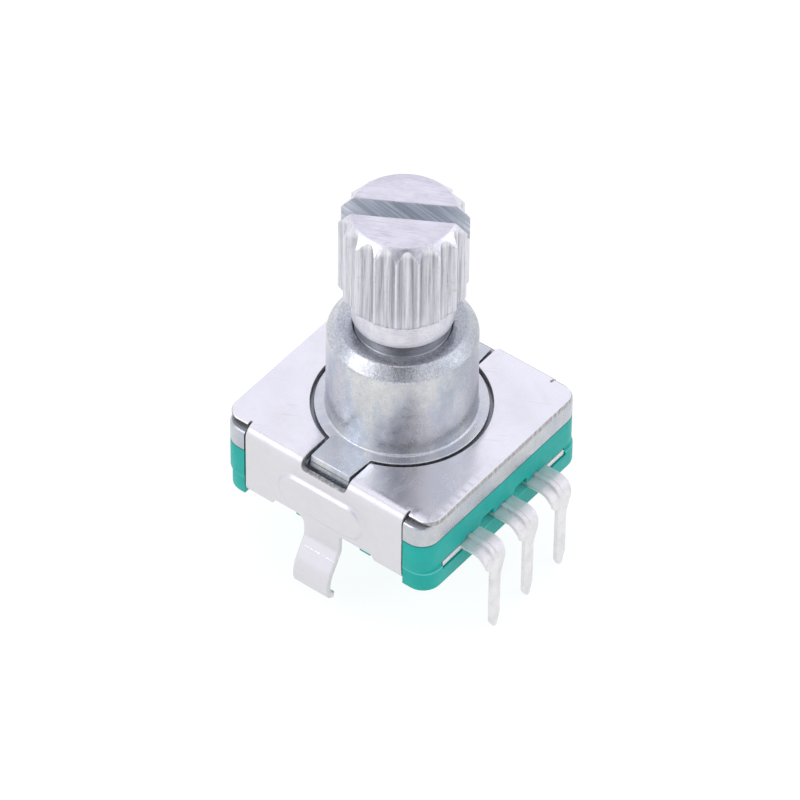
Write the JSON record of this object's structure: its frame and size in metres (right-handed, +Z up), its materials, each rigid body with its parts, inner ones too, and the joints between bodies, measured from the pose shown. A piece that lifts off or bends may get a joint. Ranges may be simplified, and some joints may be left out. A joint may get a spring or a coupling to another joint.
{
  "type": "rotary encoder",
  "caption": "Board-mounted incremental rotary encoder with a slotted, serrated metal shaft, a smooth bush, a folded metal frame, a moulded base and solder terminals.",
  "frame": {"origin": "on the shaft axis, at the face of the base that rests on the circuit board", "axes": "+Z up along the shaft; the three terminals leave towards -Y; the snap-in legs are on -X and +X"},
  "size_m": [0.0134, 0.0135, 0.0201],
  "materials": {
    "tinned_sheet": "bright satin tin plate on thin steel sheet, with fine rolling lines and handling marks",
    "zinc_die_cast": "satin zinc die casting, mottled blue-grey",
    "green_moulding": "green glass-filled thermoplastic, satin",
    "terminal_plate": "silver-white plated copper alloy, satin",
    "spring_bronze": "phosphor bronze spring strip, bright",
    "spring_steel": "stainless spring steel, bright",
    "natural_plastic": "natural low-friction plastic, satin",
    "shaft_aluminium": "turned and serrated aluminium, with fine lengthwise drawing marks",
    "contact_gold": "stamped contact brass, bright"
  },
  "bodies": {
    "housing": {"cover_frame": "tinned_sheet", "bushing": "zinc_die_cast", "base": "green_moulding", "terminal_a": "terminal_plate", "terminal_common": "terminal_plate", "terminal_b": "terminal_plate", "wiper_a": "spring_bronze", "wiper_common": "spring_bronze", "wiper_b": "spring_bronze", "detent_spring": "spring_steel", "slide_washer": "natural_plastic"},
    "rotor": {"shaft": "shaft_aluminium", "retaining_ring": "spring_steel", "detent_rotor": "natural_plastic", "code_disc": "contact_gold"}
  },
  "joints": [
    {"name": "shaft_spin", "type": "hinge", "parent": "housing", "child": "rotor", "pos_m": [0, 0, 0], "axis": [0, 0, 1], "continuous": true}
  ]
}
